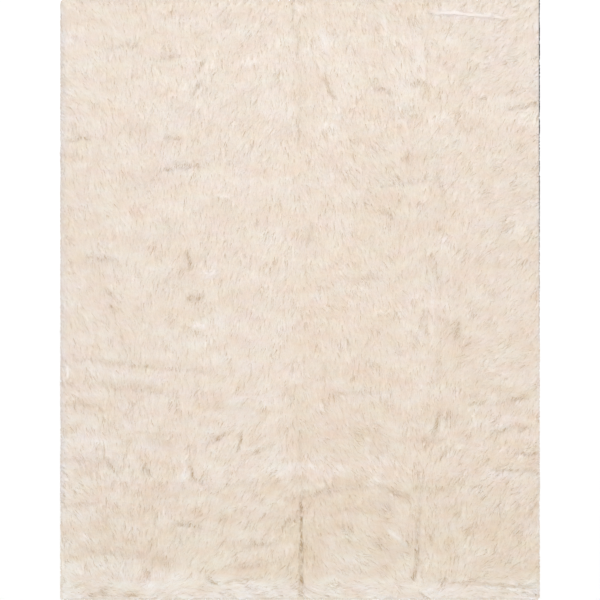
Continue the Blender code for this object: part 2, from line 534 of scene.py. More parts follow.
@dataclass(frozen=True)
class Comb:
    """Which way the pile is combed, as its lean from -Y in degrees, positive towards -X.

    It also gives the light and shade painted into the pile's tone for its lie, and where the pile is cooler.
    """

    left_lean: float = -36.0
    left_reach: float = 0.26
    right_lean: float = 38.0
    right_run: Span = (0.40, 1.0)
    middle_lean_far: float = 15.0
    middle_lean_near: float = 36.0
    middle_run: Span = (-0.3, -1.0)
    middle_turn: float = 0.08
    middle_reach: float = 0.72
    end_lean: float = 52.0
    end_run: Span = (0.15, 0.06)        # in from the near end
    broad: WaveField = WaveField(0.35, 0.9, 10, 21)
    fine: WaveField = WaveField(0.07, 0.2, 16, 22)
    broad_sway: float = 7.0
    fine_sway: float = 8.0
    # painted shade along the middle fold
    middle_shade: float = -0.007
    middle_width: float = 0.045
    # painted shade before the near end and at the far end, and a painted highlight on the near end's last rows
    light_ramps: tuple[Ramp, ...] = (
        Ramp(-0.88, -0.98, -0.022),
        Ramp(1.36, 1.44, -0.010),
        Ramp(-1.510, -1.524, 0.090),
    )
    # the near edge's pale strip is a painted highlight
    edge_start: Span = (1.30, 1.38)     # the near edge's pale strip starts here, at the left and elsewhere
    edge_run: Span = (-1.1, 0.0)
    # how bright the near edge's painted highlight is
    edge_highlight: Ramp = Ramp(0.0, 0.08, 0.051)
    cool_ramps: tuple[Ramp, ...] = (
        Ramp(0.0, 0.9, 0.016),
        Ramp(1.25, 1.40, 0.012),
        Ramp(-0.90, -1.00, 0.008),
        Ramp(-1.28, -1.34, 0.004),
        Ramp(-1.38, -1.46, 0.014),
        Ramp(-0.1, -0.5, -0.008),
    )
    cool_left: Ramp = Ramp(-1.12, -1.20, 0.012)

    def lean(self, x: Array, y: Array) -> Array:
        """Lean of the pile at each place.

        The left side leans in over its own reach, exp(-distance / reach), and the right side
        over a smooth step. Along the middle fold the pile parts to both sides, more so at the
        near end. At the near end's edge it is swept sideways. Two wave fields sway it.

        Args:
            x: places across the rug.
            y: places along the rug.

        Returns:
            Lean in degrees.
        """
        left = self.left_lean * np.exp(-(x + Relief.width / 2) / self.left_reach)
        right = self.right_lean * step(x, *self.right_run)
        more = self.middle_lean_near - self.middle_lean_far
        parted = self.middle_lean_far + more * step(y, *self.middle_run)
        middle = -parted * np.tanh(x / self.middle_turn) * np.exp(-((x / self.middle_reach) ** 4))
        start, end = (Relief.length / 2 - inset for inset in self.end_run)
        edge = self.end_lean * step(-y, start, end)
        sway = self.broad_sway * self.broad.at(x, y) + self.fine_sway * self.fine.at(x, y)
        side = np.where(middle + right + left >= 0, 1.0, -1.0)
        return left + right + middle + sway + edge * side

    def painted_light(self, x: Array, y: Array) -> Array:
        """What the pile's lie adds to its tone.

        Painted ramps along the rug take a little off before the near end and at the far end, and a painted highlight
        adds to the near end's last rows. A painted pale strip follows the near edge, deeper at the left. The middle
        fold is a dim line of painted shade, exp(-(x / width)^2). Each panel between folds adds its own painted light
        or shade.

        Args:
            x: places across the rug.
            y: places along the rug.

        Returns:
            The painted tone to add to one.
        """
        at_left, elsewhere = self.edge_start
        edge = at_left + (elsewhere - at_left) * step(x, *self.edge_run)
        total = sum(ramp.at(y) for ramp in self.light_ramps) + self.edge_highlight.at(-y - edge)
        total = total + self.middle_shade * np.exp(-((x / self.middle_width) ** 2))
        for panel in PANELS:
            total = total + panel.painted_light(x, y)
        return total

    def coolness(self, x: Array, y: Array) -> Array:
        """How much cooler the pile is than its own colour: at both ends and along the left side."""
        return sum(ramp.at(y) for ramp in self.cool_ramps) + self.cool_left.at(x)


def linear(red: float, green: float, blue: float) -> Colour:
    """A screen colour as the shader's linear colour, by the usual sRGB curve.

    Args:
        red: the screen's red, 0 to 255.
        green: its green.
        blue: its blue.

    Returns:
        The linear colour, each part 0 to 1.
    """
    tones = np.array([red, green, blue]) / 255
    curved = ((tones + 0.055) / 1.055) ** 2.4
    return tuple(float(tone) for tone in np.where(tones <= 0.04045, tones / 12.92, curved))


class Graph:
    """A small helper that adds nodes to one material and links them."""

    EVEN: ClassVar[dict[str, float]] = {"Sheen Roughness": 0.5, "Specular IOR Level": 0.2}

    def __init__(self, name: str) -> None:
        """Makes the material with its Principled shader.

        Args:
            name: the material's name.
        """
        self.material = bpy.data.materials.new(name)
        self.material.use_nodes = True
        self.tree = self.material.node_tree
        self.shader = self.tree.nodes["Principled BSDF"]

    def add(self, kind: str, **values: object) -> bpy.types.Node:
        """Adds a node, with its properties and its inputs set by name.

        Args:
            kind: the node's type.
            values: a property's name and value, or in_ and an input's number and its value
                or the socket to link from.

        Returns:
            The node.
        """
        node = self.tree.nodes.new(kind)
        for name, value in values.items():
            if not name.startswith("in_"):
                setattr(node, name, value)
        for name, value in values.items():
            if name.startswith("in_"):
                self.feed(node.inputs[int(name[3:])], value)
        return node

    def feed(self, socket: Socket, value: object) -> None:
        """Links a socket from another one, or sets its value.

        Args:
            socket: the input to feed.
            value: the socket to link from, a number, or a colour or vector.
        """
        if isinstance(value, Socket):
            self.tree.links.new(value, socket)
        elif socket.type == "RGBA":
            socket.default_value = (*value, 1.0)
        else:
            socket.default_value = value

    def attribute(self, name: str) -> Socket:
        """Reads one of the mesh's own vector attributes, and returns its socket."""
        return self.add("ShaderNodeAttribute", attribute_name=name).outputs["Vector"]

    def place(self) -> Socket:
        """The socket of the place in the rug's own space."""
        return self.add("ShaderNodeTexCoord").outputs["Object"]

    def parts(self, vector: Socket) -> list[Socket]:
        """The sockets of a vector's three parts."""
        return list(self.add("ShaderNodeSeparateXYZ", in_0=vector).outputs)

    def stretched(self, vector: Socket, scale: Place) -> Socket:
        """Multiplies a vector part by part, and returns its socket."""
        return self.add("ShaderNodeVectorMath", operation="MULTIPLY", in_0=vector, in_1=scale).outputs[0]

    def colour_mix(self, share: object, first: object, second: object, blend: str = "MIX") -> Socket:
        """Mixes two colours by share, and returns the mixed colour's socket."""
        inputs = {"in_0": share, "in_6": first, "in_7": second}
        return self.add("ShaderNodeMix", data_type="RGBA", blend_type=blend, **inputs).outputs[2]

    def math(self, operation: str, *values: object) -> Socket:
        """Carries an operation from the first of the values to the last, and returns its socket."""
        node = {"kind": "ShaderNodeMath", "operation": operation}
        return reduce(lambda one, other: self.add(**node, in_0=one, in_1=other).outputs[0], values)

    def between(self, value: object, low: float, high: float, start: float, end: float) -> Socket:
        """Carries a value from the range low to high into start to end, and returns its socket."""
        inputs = {"in_0": value, "in_1": low, "in_2": high, "in_3": start, "in_4": end}
        return self.add("ShaderNodeMapRange", **inputs).outputs[0]

    def swing(self, value: object, middle: float, reach: float, centre: float, amount: float) -> Socket:
        """Carries a value from middle +- reach into centre +- amount, and returns its socket."""
        return self.between(value, middle - reach, middle + reach, centre - amount, centre + amount)

    def finish(self, colour: object, roughness: float, sheen: float, bump: Socket | None = None) -> Material:
        """Feeds the shader, with its even values on its own sockets.

        Args:
            colour: the colour's socket.
            roughness: the surface's roughness.
            sheen: the weight of its sheen.
            bump: the socket of a bumped normal, or None for an even surface.

        Returns:
            The material.
        """
        self.feed(self.shader.inputs["Base Color"], colour)
        if bump:
            self.feed(self.shader.inputs["Normal"], bump)
        for name, value in {"Roughness": roughness, "Sheen Weight": sheen, **self.EVEN}.items():
            self.shader.inputs[name].default_value = value
        return self.material

    def bump(self, height: Socket, strength: float, depth: float) -> Socket:
        """A normal bumped by a height from 0 to 1 over the given depth, as its socket."""
        return self.add("ShaderNodeBump", in_0=strength, in_1=depth, in_3=height).outputs[0]


class Axis(Enum):
    """The rug's own axes in its plane, as the parts of a place."""

    ACROSS = 0
    ALONG = 1


class Tint(NamedTuple):
    """A colour that the pile is multiplied by, coming in along an axis from start to end in metres."""

    axis: Axis
    start: float
    end: float
    colour: Colour


@dataclass(frozen=True)
class PileFinish:
    """Ivory synthetic fur: paler towards the tips, tan down between the tufts, with fine fibre lines.

    One noise runs along each lock, for its fibres. A broad one in the rug's own space makes patches of the pile drift
    in tone, yellow and green. The pile is calmer in its far part. The darker roots and the tan between the tufts are
    partly the fur's own colour, partly painted shade of the pile's depth.
    """

    name: str = "ivory_pile"
    # the root's darker colour is partly the fur's own tan, partly painted shade deep in the pile
    root: Colour = linear(230.6, 217.8, 202.8)
    body: Colour = linear(234.6, 223.0, 211.3)
    tip: Colour = linear(237.2, 225.5, 214.4)
    # the open pile's tan: partly the underwool's own colour, partly painted shade of the partings' depth
    open_pile_and_shade: Colour = linear(184, 156, 120)
    root_end: float = 0.05              # shares of a lock's length where its root's colour ends
    body_at: float = 0.5                # and its body's is reached
    green_power: float = 1.3
    blue_power: float = 1.9
    fibre_stretch: Place = (9.0, 1.2, 57.0)
    fibre_detail: float = 2.0
    fibre_reach: float = 0.2
    fibre_tone: float = 0.012
    fibre_bump: float = 0.15
    fibre_depth: float = 0.001
    patch_stretch: Place = (7.0, 15.0, 11.0)
    patch_detail: float = 5.0
    patch_roughness: float = 0.64
    patch_reach: float = 0.25
    patch_tone: float = -0.030
    patch_yellow: float = -0.115
    patch_green: float = -0.055
    own_green: float = 0.034            # of the patches' second noise, which drifts apart from them
    lock_green: float = 0.006           # of each lock's own number
    warm_green: float = -0.4            # share of the warmth that green takes
    calm_run: Span = (-0.9, 0.1)
    calm_colour: float = 0.80
    calm_tone: float = 0.50
    roughness: float = 0.88
    sheen: float = 0.15
    # painted shade at the left side and the far end, a painted highlight just inside the right side, and a green tint
    # towards the near end
    light_and_tints: tuple[Tint, ...] = (
        Tint(Axis.ACROSS, 0.045 - REACH[0], 0.008 - REACH[0], (0.930, 0.955, 1.015)),
        Tint(Axis.ACROSS, REACH[0] - 0.030, REACH[0] - 0.008, (1.005, 1.020, 1.060)),
        Tint(Axis.ALONG, REACH[1] - 0.030, REACH[1] - 0.012, (0.93, 0.93, 0.94)),
        Tint(Axis.ALONG, -0.90, -1.42, (1.0, 1.012, 1.0)),
    )
    # where a painted shade darkens the right side's outer edge to black, across and along the rug
    shade_across: Span = (REACH[0] - 0.0082, REACH[0] - 0.0052)
    shade_along: Span = (-0.30, 0.95)

    def build(self) -> Material:
        """Makes the material from the strand and coat attributes and two noises.

        The lock's own colour is multiplied by a shade. Its red is the gain: the tone, which carries the coat's painted
        light and shade, the fibre lines and the patches' tone. Green and blue take the gain to a power, so that pale
        locks are cooler and dark ones warmer, and then their own drift. Last come the sides' painted shade and
        highlight, and a tint towards the near end.

        Returns:
            The material.
        """
        g = Graph(self.name)
        strand, place = g.attribute(STRAND), g.place()
        tone, opened, warmth = g.parts(g.attribute(COAT))
        _, along, number = g.parts(strand)
        stretched = g.stretched(strand, self.fibre_stretch)
        fibres = g.add("ShaderNodeTexNoise", in_0=stretched, in_2=1.0, in_3=self.fibre_detail).outputs[0]
        drift, other = self.patches(g, place)
        far = g.parts(place)[Axis.ALONG.value]
        patches = g.math("MULTIPLY", drift, g.between(far, *self.calm_run, 1.0, self.calm_colour))
        shading = g.math("MULTIPLY", drift, g.between(far, *self.calm_run, 1.0, self.calm_tone))
        lines = g.swing(fibres, 0.5, self.fibre_reach, 0.0, self.fibre_tone)
        gain = g.math("ADD", tone, lines, g.swing(shading, 0.0, self.patch_reach, 0.0, self.patch_tone))
        green = g.math(
            "ADD",
            g.swing(patches, 0.0, self.patch_reach, 1.0, self.patch_green),
            g.math("MULTIPLY", warmth, self.warm_green),
            g.swing(other, 0.5, self.patch_reach, 0.0, self.own_green),
            g.swing(number, 0.5, 0.5, 0.0, self.lock_green),
        )
        green = g.math("MULTIPLY", g.math("POWER", gain, self.green_power), green)
        blue = g.math("SUBTRACT", g.swing(patches, 0.0, self.patch_reach, 1.0, self.patch_yellow), warmth)
        blue = g.math("MULTIPLY", g.math("POWER", gain, self.blue_power), blue)
        shade = g.add("ShaderNodeCombineColor", in_0=gain, in_1=green, in_2=blue).outputs[0]
        colour = g.colour_mix(1.0, self.lock_colour(g, along, opened), shade, "MULTIPLY")
        colour = g.colour_mix(1.0, colour, self.sides(g, place), "MULTIPLY")
        bump = g.bump(fibres, self.fibre_bump, self.fibre_depth)
        return g.finish(colour, self.roughness, self.sheen, bump)

    def lock_colour(self, g: Graph, along: Socket, opened: Socket) -> Socket:
        """A lock's own colour: from its root to its tip, and towards the open pile's tan.

        Args:
            g: the material's graph.
            along: the socket of the place along the lock, 0 to 1.
            opened: the socket of how far the pile is open.

        Returns:
            The colour's socket.
        """
        # from the root, darker partly as painted shade deep in the pile, to the tip
        colour = g.colour_mix(g.between(along, self.root_end, self.body_at, 0.0, 1.0), self.root, self.body)
        colour = g.colour_mix(g.between(along, self.body_at, 1.0, 0.0, 1.0), colour, self.tip)
        # towards the open pile's tan, which is partly painted shade of its depth
        return g.colour_mix(opened, colour, self.open_pile_and_shade)

    def patches(self, g: Graph, place: Socket) -> tuple[Socket, Socket]:
        """The broad noise of the patches, drawn out across the rug.

        Args:
            g: the material's graph.
            place: the socket of the place in the rug's own space.

        Returns:
            The sockets of the noise about 0, and of its second, unlike noise about 0.5.
        """
        inputs = {"in_2": 1.0, "in_3": self.patch_detail, "in_4": self.patch_roughness}
        noise = g.add("ShaderNodeTexNoise", in_0=g.stretched(place, self.patch_stretch), **inputs)
        other = g.add("ShaderNodeSeparateColor", in_0=noise.outputs[1]).outputs[1]
        return g.math("SUBTRACT", noise.outputs[0], 0.5), other

    def sides(self, g: Graph, place: Socket) -> Socket:
        """What the colour is multiplied by at the rug's sides and towards its near end.

        Painted shade darkens the left side and the far end, a painted highlight lies just inside the right side, and
        the near end takes a green tint. The far half of the right side's outermost millimetres also take a painted
        shade, down to black.

        Args:
            g: the material's graph.
            place: the socket of the place in the rug's own space.

        Returns:
            The socket of the scale.
        """
        axes = g.parts(place)
        scale = WHITE
        for tint in self.light_and_tints:
            share = g.between(axes[tint.axis.value], tint.start, tint.end, 0.0, 1.0)
            scale = g.colour_mix(share, scale, tint.colour)
        # painted shade, down to black, along the far half of the right side's outer edge
        under = g.between(axes[Axis.ACROSS.value], *self.shade_across, 0.0, 1.0)
        shaded = g.between(axes[Axis.ALONG.value], *self.shade_along, 0.0, 1.0)
        return g.colour_mix(g.math("MULTIPLY", under, shaded), scale, BLACK)


@dataclass(frozen=True)
class UnderwoolFinish:
    """The short dense wool that the locks stand in: tan, in fine curls."""

    name: str = "tan_underwool"
    pale: Colour = linear(226, 212, 195)
    deep: Colour = linear(214, 196, 174)
    curl_scale: float = 160.0
    curl_detail: float = 4.0
    curl_turn: float = 1.5
    curl_reach: float = 0.2
    curl_bump: float = 0.6
    curl_depth: float = 0.003
    roughness: float = 0.95
    sheen: float = 0.1

    def build(self) -> Material:
        """Makes the material: a curly noise in the rug's own space sets both its colour and its bump.

        Returns:
            The material.
        """
        g = Graph(self.name)
        inputs = {"in_2": self.curl_scale, "in_3": self.curl_detail, "in_8": self.curl_turn}
        curls = g.add("ShaderNodeTexNoise", in_0=g.place(), **inputs).outputs[0]
        colour = g.colour_mix(g.swing(curls, 0.5, self.curl_reach, 0.5, 0.5), self.deep, self.pale)
        bump = g.bump(curls, self.curl_bump, self.curl_depth)
        return g.finish(colour, self.roughness, self.sheen, bump)


@dataclass(frozen=True)
class BackingFinish:
    """Plain woven backing cloth: warp and weft cross at a few millimetres."""

    name: str = "woven_backing"
    thread: Colour = linear(224, 214, 198)
    gap: Colour = linear(178, 164, 144)
    thread_pitch: float = 0.006
    radians_to_metre: float = 20.0      # what a wave texture of scale 1 turns through
    unevenness: float = 0.6
    detail: float = 1.0
    weave_bump: float = 0.5
    weave_depth: float = 0.001
    roughness: float = 0.9

    def build(self) -> Material:
        """Makes the material: two wave textures across each other, the higher of which shows.

        Returns:
            The material.
        """
        g = Graph(self.name)
        scale = math.tau / (self.radians_to_metre * self.thread_pitch)
        inputs = {"in_0": g.place(), "in_1": scale, "in_2": self.unevenness, "in_3": self.detail}
        warp, weft = (g.add("ShaderNodeTexWave", bands_direction=way, **inputs).outputs[1] for way in "XY")
        weave = g.math("MAXIMUM", warp, weft)
        bump = g.bump(weave, self.weave_bump, self.weave_depth)
        return g.finish(g.colour_mix(weave, self.gap, self.thread), self.roughness, 0.0, bump)


@dataclass(frozen=True)
class FloorFinish:
    """A plain pale studio floor."""

    name: str = "studio_floor"
    pale: Colour = (0.97, 0.97, 0.97)
    dim_share: float = 0.985
    mottle_scale: float = 1.5
    mottle_detail: float = 2.0
    roughness: float = 0.8

    def build(self) -> Material:
        """Makes the material with a hardly visible mottle.

        Returns:
            The material.
        """
        g = Graph(self.name)
        inputs = {"in_2": self.mottle_scale, "in_3": self.mottle_detail}
        mottle = g.add("ShaderNodeTexNoise", in_0=g.place(), **inputs).outputs[0]
        dim = tuple(self.dim_share * part for part in self.pale)
        return g.finish(g.colour_mix(mottle, dim, self.pale), self.roughness, 0.0)


def grid(half_x: float, half_y: float, columns: int, rows: int) -> tuple[Array, Array, Array, Array]:
    """A level grid of rows and columns about the rug's middle.

    Args:
        half_x: how far it reaches to either side.
        half_y: how far it reaches to either end.
        columns: cells across.
        rows: cells along.

    Returns:
        The points' places across and along, their numbers by row and column, and the quads.
    """
    x, y = np.meshgrid(np.linspace(-half_x, half_x, columns + 1), np.linspace(-half_y, half_y, rows + 1))
    number = np.arange(x.size).reshape(x.shape)
    corners = [number[:-1, :-1], number[:-1, 1:], number[1:, 1:], number[1:, :-1]]
    return x.ravel(), y.ravel(), number, np.stack(corners, axis=2).reshape(-1, 4)


def put_mesh(name: str, points: Array, quads: Array, triangles: Array | None = None) -> Piece:
    """Makes an object of one mesh from whole arrays, smooth shaded.

    Args:
        name: the piece's name.
        points: its points, one row each.
        quads: four point numbers to a row.
        triangles: three point numbers to a row, or None where there are none.

    Returns:
        The object, linked to the scene.
    """
    if triangles is None:
        triangles = np.empty((0, 3), dtype=int)
    mesh = bpy.data.meshes.new(name)
    corners = np.concatenate([quads.ravel(), triangles.ravel()]).astype(np.int32)
    quad_starts = np.arange(len(quads)) * 4
    starts = np.concatenate([quad_starts, len(quads) * 4 + np.arange(len(triangles)) * 3])
    mesh.vertices.add(len(points))
    mesh.vertices.foreach_set("co", points.astype(np.float32).ravel())
    mesh.loops.add(len(corners))
    mesh.loops.foreach_set("vertex_index", corners)
    mesh.polygons.add(len(starts))
    mesh.polygons.foreach_set("loop_start", starts.astype(np.int32))
    mesh.polygons.foreach_set("use_smooth", np.ones(len(starts), dtype=bool))
    mesh.update(calc_edges=True)
    made = bpy.data.objects.new(name, mesh)
    bpy.context.scene.collection.objects.link(made)
    return made


def put_attribute(made: Piece, name: str, values: Array) -> None:
    """Stores a vector for each point of a piece under the given name."""
    stored = made.data.attributes.new(name, "FLOAT_VECTOR", "POINT")
    stored.data.foreach_set("vector", values.astype(np.float32).ravel())


def dress(made: Piece, material: Material) -> Piece:
    """Gives a piece its material, lets it ride on the rug, and lets it stand for the CAD solid.

    Args:
        made: the piece.
        material: its finish.

    Returns:
        The piece.
    """
    made.data.materials.append(material)
    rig.ride(made, BODY)
    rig.slot(made, SLOT)
    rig.replaces(made, NODE)
    return made


def report(made: Piece) -> None:
    """Logs a piece's name and its triangles, two fewer to a face than its corners."""
    log.info("%s: %d triangles", made.name, len(made.data.loops) - 2 * len(made.data.polygons))


@dataclass(frozen=True)
class LockSet:
    """Tapered three-sided locks as whole arrays: rings of three points along each, then a tip.

    line holds places along each lock, as (locks, stations, 3), the last of them the tip. width
    holds each lock's width at every ring, as (locks, stations - 1). roll is each lock's roll
    about its line, in radians, and number is each lock's own random number.
    """

    SIDES: ClassVar[int] = 3
    DROOP: ClassVar[float] = 0.08       # how low a ring's outer points lie, in half widths
    CROWN: ClassVar[float] = 0.18       # how high its top point lies
    line: Array
    width: Array
    roll: Array
    number: Array

    def __len__(self) -> int:
        """Number of locks."""
        return len(self.line)

    @property
    def rings(self) -> int:
        """Rings of one lock."""
        return self.line.shape[1] - 1

    @property
    def points_each(self) -> int:
        """Points of one lock."""
        return self.rings * self.SIDES + 1

    def part(self, chosen: Array) -> "LockSet":
        """The locks of the chosen numbers, as a set of their own."""
        return LockSet(self.line[chosen], self.width[chosen], self.roll[chosen], self.number[chosen])

    def points(self) -> Array:
        """All points, the rings from the root and then the tip.

        Each ring has a left, a top and a right point round the line's own point. Left is level
        and square to the line, up is square to both, and the roll turns them about the line.
        The outer points lie half a width to the sides and a little low, the top one above.
        Points past the rug's outline are drawn in to it, and none is lower than the floor.

        Returns:
            The points, as (locks, points of one, 3).
        """
        run = np.diff(self.line, axis=1)
        run /= np.linalg.norm(run, axis=2, keepdims=True)
        left = np.stack([-run[..., 1], run[..., 0], np.zeros(run.shape[:2])], axis=2)
        left /= np.linalg.norm(left, axis=2, keepdims=True)
        up = np.cross(run, left)
        turn = self.roll[:, None, None]
        side = left * np.cos(turn) + up * np.sin(turn)
        rise = up * np.cos(turn) - left * np.sin(turn)
        half = self.width[..., None] / 2
        middle = self.line[:, :-1]
        low = middle - rise * half * self.DROOP
        ring = np.stack([low + side * half, middle + rise * half * self.CROWN, low - side * half], axis=2)
        made = np.concatenate([ring.reshape(len(self), -1, 3), self.line[:, -1:]], axis=1)
        limit = np.array(REACH) - RAGGED * self.number[:, None, None]
        made[..., :2] = np.clip(made[..., :2], -limit, limit)
        made[..., 2] = np.maximum(made[..., 2], LEAST_HEIGHT)
        return made

    def strand(self) -> Array:
        """Where each point is on its lock: across it, along it, and the lock's own number.

        Returns:
            The vectors, in the order of the points.
        """
        across = np.append(np.tile([0.0, 0.5, 1.0], self.rings), 0.5)
        along = np.append(np.repeat(np.arange(self.rings), self.SIDES), self.rings) / self.rings
        made = np.empty((len(self), self.points_each, 3))
        made[..., 0], made[..., 1], made[..., 2] = across, along, self.number[:, None]
        return made

    def faces(self) -> tuple[Array, Array]:
        """Quads between the rings, and triangles at the root's end and up to the tip.

        Returns:
            The quads and the triangles of all locks.
        """
        first = np.arange(self.SIDES)
        after = (first + 1) % self.SIDES
        base = np.arange(self.rings - 1)[:, None] * self.SIDES
        corners = [base + first, base + after, base + after + self.SIDES, base + first + self.SIDES]
        quads = np.stack(corners, axis=2)
        top = (self.rings - 1) * self.SIDES
        tips = np.stack([top + first, top + after, np.full(self.SIDES, top + self.SIDES)], axis=1)
        triangles = np.concatenate([[[0, 2, 1]], tips])
        start = np.arange(len(self))[:, None, None] * self.points_each
        return (start + quads.reshape(1, -1, 4)).reshape(-1, 4), (start + triangles).reshape(-1, 3)

    def bake_map(self) -> Array:
        """A UV map where every lock has a cell of its own, its sides next to each other in it.

        Within a cell a side takes a third of the width, a quad's height is one share of what
        the rings leave, and the root's end is a small triangle along the cell's foot.

        Returns:
            The place of each face corner, quads first and then triangles, as the faces are.
        """
        cells = math.ceil(math.sqrt(len(self)))
        low, high, foot = 0.06, 0.94, 0.16
        root_end = [(0.1, 0.02), (0.9, 0.02), (0.5, 0.12)]
        left = (np.arange(self.SIDES) + low) / self.SIDES
        right = (np.arange(self.SIDES) + high) / self.SIDES
        levels = np.linspace(foot, high, self.rings + 1)
        quads = np.array([
            [(a, levels[ring]), (b, levels[ring]), (b, levels[ring + 1]), (a, levels[ring + 1])]
            for ring in range(self.rings - 1) for a, b in zip(left, right)
        ]).reshape(-1, 4, 2)
        tips = [[(a, levels[-2]), (b, levels[-2]), ((a + b) / 2, high)] for a, b in zip(left, right)]
        triangles = np.array([root_end, *tips])
        number = np.arange(len(self))
        corner = np.stack([number % cells, number // cells], axis=1)[:, None, None]
        placed = [((corner + part) / cells).reshape(-1, 2) for part in (quads[None], triangles[None])]
        return np.concatenate(placed)

    def crease(self, mesh: bpy.types.Mesh) -> None:
        """Marks a lock's two long edges and its root's end sharp, so that only its back is rounded.

        An edge is a long one where neither of its ends is a top point, that is number 1 of its
        ring, and they are not on one ring. It is the root's where both ends are on ring 0.

        Args:
            mesh: the locks' mesh.
        """
        ends = np.empty(len(mesh.edges) * 2, dtype=np.int32)
        mesh.edges.foreach_get("vertices", ends)
        ends = ends.reshape(-1, 2) % self.points_each
        ring, place = np.divmod(ends, self.SIDES)
        tip = ends == self.rings * self.SIDES
        long = ((place != 1) | tip).all(axis=1) & (ring[:, 0] != ring[:, 1])
        root = (ring == 0).all(axis=1)
        sharp = mesh.attributes.new("sharp_edge", "BOOLEAN", "EDGE")
        sharp.data.foreach_set("value", long | root)

    def put(self, name: str, coat: Array) -> Piece:
        """Makes the locks one mesh, with their attributes and their UV map.

        Args:
            name: the piece's name.
            coat: tone, opening and warmth of each point, as (locks, points of one, 3).

        Returns:
            The object.
        """
        quads, triangles = self.faces()
        made = put_mesh(name, self.points().reshape(-1, 3), quads, triangles)
        self.crease(made.data)
        put_attribute(made, STRAND, self.strand())
        put_attribute(made, COAT, coat)
        layer = made.data.uv_layers.new(name=BAKE_MAP)
        layer.uv.foreach_set("vector", self.bake_map().astype(np.float32).ravel())
        return made


class TuftShare(NamedTuple):
    """What a lock takes from the tuft that it belongs to."""

    x: Array
    y: Array
    tone: Array
    turn: Array
    stretch: Array
    lift: Array

    def part(self, chosen: Array) -> "TuftShare":
        """What the chosen locks take."""
        return TuftShare(*(values[chosen] for values in self))


@dataclass(frozen=True)
class Tufts:
    """Tufts that the locks gather in: one centre to each cell of a grid, moved at random in it."""

    pitch: float = 0.034
    spare_cells: int = 4                # past the rug, so that each lock has cells all round it
    margin: float = 0.1                 # share of a cell that a centre keeps from its sides
    along_share: float = 0.8            # how much a distance along the rug counts
    most: float = 2.0                   # no tuft is stretched or lifted by more spreads
    seed: int = 31
    tone_spread: float = 0.006
    turn_spread: float = 7.0
    stretch_spread: float = 0.14
    lift_spread: float = 0.0012

    def gather(self, x: Array, y: Array) -> TuftShare:
        """Finds each lock's nearest tuft among the nine cells round it.

        Args:
            x: the locks' places across the rug.
            y: the locks' places along the rug.

        Returns:
            The tuft's centre and its own tone, turn, stretch and lift, for each lock.
        """
        rng = np.random.default_rng(self.seed)
        cells = math.ceil(Relief.length / self.pitch) + self.spare_cells
        centre = rng.uniform(self.margin, 1 - self.margin, (2, cells, cells))
        marks = rng.normal(0, 1, (4, cells, cells))
        column = np.floor(x / self.pitch).astype(int) + cells // 2
        row = np.floor(y / self.pitch).astype(int) + cells // 2
        best = np.full(x.shape, np.inf)
        found = np.zeros((6, *x.shape))
        for right in (-1, 0, 1):
            for ahead in (-1, 0, 1):
                i, j = column + right, row + ahead
                cx = (i - cells // 2 + centre[0, i, j]) * self.pitch
                cy = (j - cells // 2 + centre[1, i, j]) * self.pitch
                gap = np.hypot(cx - x, (cy - y) * self.along_share)
                nearer = gap < best
                best = np.where(nearer, gap, best)
                found = np.where(nearer, np.stack([cx, cy, *marks[:, i, j]]), found)
        return TuftShare(
            x=found[0],
            y=found[1],
            tone=found[2] * self.tone_spread,
            turn=found[3] * self.turn_spread,
            stretch=1 + np.clip(found[4], -self.most, self.most) * self.stretch_spread,
            lift=np.clip(found[5], -self.most, self.most) * self.lift_spread,
        )


@dataclass(frozen=True)
class LockKind:
    """Sizes of one kind of pile lock, in metres and degrees, and its spreads of tone."""

    name: str
    pitch: float
    length: Span
    width: Span
    stations: tuple[float, ...]
    taper: tuple[float, ...]
    sink: tuple[float, ...]
    sink_spread: float
    tone_spread: float
    fleck_share: float
    jitter: float
    pieces: int
    seed: int


class Layer(Enum):
    """The two layers of the pile: broad locks that cover, and fine hairs over them."""

    LOCKS = LockKind(
        name="pile_locks",
        pitch=0.0160,
        length=(0.050, 0.074),
        width=(0.0140, 0.0200),
        stations=(0.0, 0.5, 1.0),
        taper=(0.8, 1.0),
        sink=(0.010, 0.0056, 0.0050),
        sink_spread=0.0005,
        tone_spread=0.012,
        fleck_share=0.0,
        jitter=8.0,
        pieces=2,
        seed=41,
    )
    HAIRS = LockKind(
        name="pile_hairs",
        pitch=0.0071,
        length=(0.030, 0.050),
        width=(0.0027, 0.0043),
        stations=(0.0, 1.0),
        taper=(1.0,),
        sink=(0.0035, -0.0002),
        sink_spread=0.0005,
        tone_spread=0.009,
        fleck_share=0.034,
        jitter=11.0,
        pieces=4,
        seed=42,
    )


